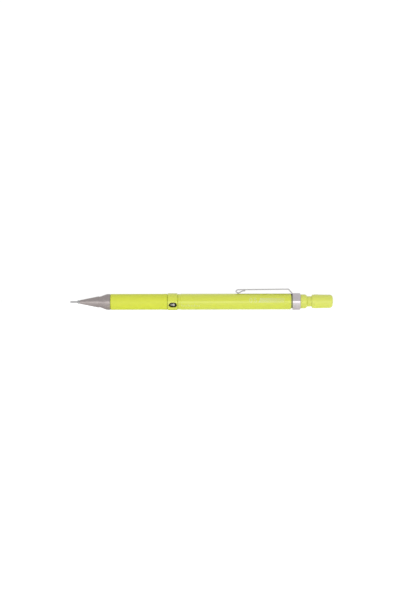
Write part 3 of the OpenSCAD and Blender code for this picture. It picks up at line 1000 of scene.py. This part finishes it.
def end_bush():
    """The bush that clamps the band: a thread inside the barrel, a flange, and a rounded tail."""
    front, back = ends("end_bush")
    outer, shank, bore = radius("end_bush"), 3.45, radius("push_tube") + SLIP
    flange = ends("clip_band")[1] + SLIP
    barrel_end = ends("rear_barrel")[1]
    return turned([
        (front, shank, 0.15), (flange, shank), (flange, outer, 0.05), (back - 0.85, outer, 1.5),
        (back, bore + 0.12, 0.05), (back, bore, 0.04), (front, bore, 0.1),
    ], threaded(shank, front + 0.1, barrel_end - 0.8), step=0.12)


# ---------------------------------------------------------------- push button

def push_tube():
    """Holds the eraser at its back and the lead tube at its front."""
    front, back = ends("push_tube")
    outer, bore, tube = radius("push_tube"), 1.52, radius("lead_tube") + FIT
    socket, socket_r = ends("eraser")[0] - SLIP, radius("eraser") + FIT
    tube_end = ends("lead_tube")[1] + SLIP
    return turned([
        (front, outer, 0.25), (back, outer, 0.25), (back, socket_r, 0.06), (socket, socket_r),
        (socket, bore, 0.1), (tube_end, bore), (tube_end, tube), (front, tube, 0.06),
    ], step=0.6)


def eraser():
    front, back = ends("eraser")
    outer = radius("eraser")

    def worn(station, r, angle):
        """The end is rubbed slightly to one side."""
        share = max(0.0, (station - back + 1.2) / 1.2)
        return r * (1 - 0.05 * share * (1 + math.cos(angle - 0.8)))

    return turned([
        (front, 0), (front, outer, 0.1), (back, outer, 0.5), (back, 0),
    ], worn, sides=112, step=0.3, closed=False)


def push_cap():
    """A lip, a collar, and a body that narrows slightly to a rounded end, over a socket."""
    front, back = ends("push_cap")
    rim = radius("push_cap")
    body, mouth = rim - 0.07, radius("push_tube") + SLIP
    eraser_end = ends("eraser")[1] + 0.4
    tube_end = ends("push_tube")[1]
    socket = radius("eraser") + 0.2
    return turned([
        (eraser_end, 0), (eraser_end, socket, 0.3), (tube_end + 0.6, socket + 0.2, 0.1),
        (tube_end + 0.3, mouth, 0.1), (front, mouth, 0.05), (front, rim - 0.2, 0.12),
        (front + 0.15, rim - 0.11, 0.12), (front + 1.2, rim - 0.11, 0.04), (front + 1.35, rim, 0.06),
        (front + 3.5, rim, 0.04), (front + 3.65, body, 0.05), (back, body - 0.11, 1.9), (back, 0),
    ], closed=False, step=0.7)


# ---------------------------------------------------------------- assembly

PIECES = {
    "lead_sleeve": lead_sleeve, "tip_bush": tip_bush, "nose_cone": nose_cone,
    "lead_retainer": lead_retainer, "chuck": chuck, "chuck_ring": chuck_ring,
    "chuck_spring": chuck_spring, "chuck_housing": chuck_housing, "thread_insert": thread_insert,
    "front_barrel": front_barrel, "barrel_joiner": barrel_joiner, "grade_scale": grade_scale,
    "grade_ring": grade_ring, "rear_barrel": rear_barrel, "clip_collar": clip_collar, "clip": clip,
    "clip_band": clip_band, "end_bush": end_bush, "push_tube": push_tube, "eraser": eraser,
    "push_cap": push_cap, "tube_coupling": tube_coupling, "lead_tube": lead_tube, "lead": lead,
    "spare_leads": spare_leads,
}
OWN_PAINT = {
    "push_cap": CAP_LIME, "push_tube": CAP_LIME, "end_bush": CAP_LIME, "clip_collar": COLLAR_SHADE_STEEL,
}
made = {node: stand_for(node, build(), OWN_PAINT.get(node)) for node, build in PIECES.items()}
grade_print()
size_print()


def second_paint(node, paint, wanted):
    """Gives another paint to the faces of a piece that are wanted."""
    data = made[node].data
    data.materials.append(paint)
    for face in data.polygons:
        face.material_index = int(wanted(face))


# The strip's sheared edges are duller than its rolled faces
second_paint("clip", SHEARED_STEEL, lambda face: abs(face.normal.y) > 0.8)

# Painted shade: the tab that the strip grows from is coloured near black for the shade at the clip's root;
# it is all that stands out past the collar's ring
tab_foot = MM * (radius("rear_barrel") - COLLAR_DEPTH + 0.02)
second_paint("clip_collar", TAB_SHADE_STEEL, lambda face: math.hypot(face.center.y, face.center.z) > tab_foot)

# The scale is lime where it shows in the gaps at the ends of the ring
scale_ends = [MM * (station + MOUTH_X) for station in ends("grade_scale")]
second_paint(
    "grade_scale", PAINTS["lime_satin"],
    lambda face: min(abs(face.center.x - end) for end in scale_ends) < 0.4 * MM,
)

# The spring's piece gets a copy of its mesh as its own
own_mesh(made["chuck_spring"])


# ---------------------------------------------------------------- studio

def stage_plane(name, size, location, rotation, paint):
    """A flat card that belongs to the studio and not to the pencil."""
    mesh = bmesh.new()
    bmesh.ops.create_grid(mesh, x_segments=1, y_segments=1, size=size / 2)
    data = bpy.data.meshes.new(name)
    mesh.to_mesh(data)
    mesh.free()
    data.materials.append(paint)
    card = bpy.data.objects.new(name, data)
    card.location = location
    card.rotation_euler = rotation
    bpy.context.scene.collection.objects.link(card)
    return card


def painted_glow_floor():
    """The floor's matt white, with painted light: it glows, more in front of the pencil than behind it, a
    pool of light laid into the floor's emission.
    """
    paint = Paint("painted_glow_floor", roughness=0.9, specular_ior_level=0.2)
    paint.set("Base Color", rgb(*FLOOR_WHITE))
    paint.set("Emission Color", rgb(1.0, 1.0, 1.0))
    across = paint.add("ShaderNodeSeparateXYZ", {0: paint.mm}).outputs["Y"]
    # painted light: the floor's glow falls from its front strength to its back strength across the pencil
    glow = paint.add(
        "ShaderNodeMapRange",
        {
            "Value": across, "From Min": -30.0, "From Max": -6.0,
            "To Min": FLOOR_GLOW, "To Max": FLOOR_GLOW_BACK,
        },
        interpolation_type="SMOOTHSTEP",
    )
    paint.set("Emission Strength", glow.outputs["Result"])
    return paint.material


def surround():
    """White behind the pencil, greyer in front, with a bright band low down in front."""
    world = bpy.data.worlds.new("studio")
    world.use_nodes = True
    bpy.context.scene.world = world
    tree = world.node_tree
    tree.nodes.clear()
    place = tree.nodes.new("ShaderNodeTexCoord")
    split = tree.nodes.new("ShaderNodeSeparateXYZ")
    background = tree.nodes.new("ShaderNodeBackground")
    output = tree.nodes.new("ShaderNodeOutputWorld")
    background.inputs["Color"].default_value = rgb(1.0, 1.0, 1.0)
    tree.links.new(place.outputs["Generated"], split.inputs[0])
    tree.links.new(background.outputs[0], output.inputs["Surface"])

    def ramp(value, start, stop, low, high):
        node = tree.nodes.new("ShaderNodeMapRange")
        node.interpolation_type = "SMOOTHSTEP"
        for socket, setting in zip(node.inputs, (value, start, stop, low, high)):
            if isinstance(setting, bpy.types.NodeSocket):
                tree.links.new(setting, socket)
            else:
                socket.default_value = setting
        return node.outputs["Result"]

    aside = tree.nodes.new("ShaderNodeMath")
    aside.operation = "ABSOLUTE"
    tree.links.new(split.outputs["X"], aside.inputs[0])
    band = ramp(aside.outputs[0], 0.45, 0.7, BAND_FRONT, WORLD_FRONT)
    front = ramp(split.outputs["Z"], 0.06, 0.13, band, WORLD_FRONT)
    back = ramp(split.outputs["Z"], 0.2, 0.4, WORLD_BACK, WORLD_FRONT)
    tree.links.new(ramp(split.outputs["Y"], -0.25, 0.35, front, back), background.inputs["Strength"])


FLOOR_WHITE = (0.9, 0.9, 0.9)
FLOOR_GLOW, FLOOR_GLOW_BACK = 1.1, 0.44
WORLD_FRONT, WORLD_BACK, BAND_FRONT = 0.82, 1.02, 1.8
CAMERA_DISTANCE = 0.91
CAMERA_LENS = 100.0
CAMERA_ROLL = math.radians(-0.16)

middle_of = (cad_low + cad_high) / 2
stage_plane("floor", 6.0, (0, 0, 0), (0, 0, 0), painted_glow_floor())
surround()

camera_data = bpy.data.cameras.new("camera")
camera_data.lens = CAMERA_LENS
camera_data.sensor_width = 36.0
camera_data.clip_start = 0.01
camera = bpy.data.objects.new("camera", camera_data)
camera.location = (middle_of.x - 0.0006, -CAMERA_DISTANCE, AXIS_Z + 0.00065)
upright, roll = Matrix.Rotation(math.pi / 2, 3, "X"), Matrix.Rotation(CAMERA_ROLL, 3, "Z")
camera.rotation_euler = (upright @ roll).to_euler()
bpy.context.scene.collection.objects.link(camera)
bpy.context.scene.camera = camera
bpy.context.scene.view_settings.view_transform = "Standard"
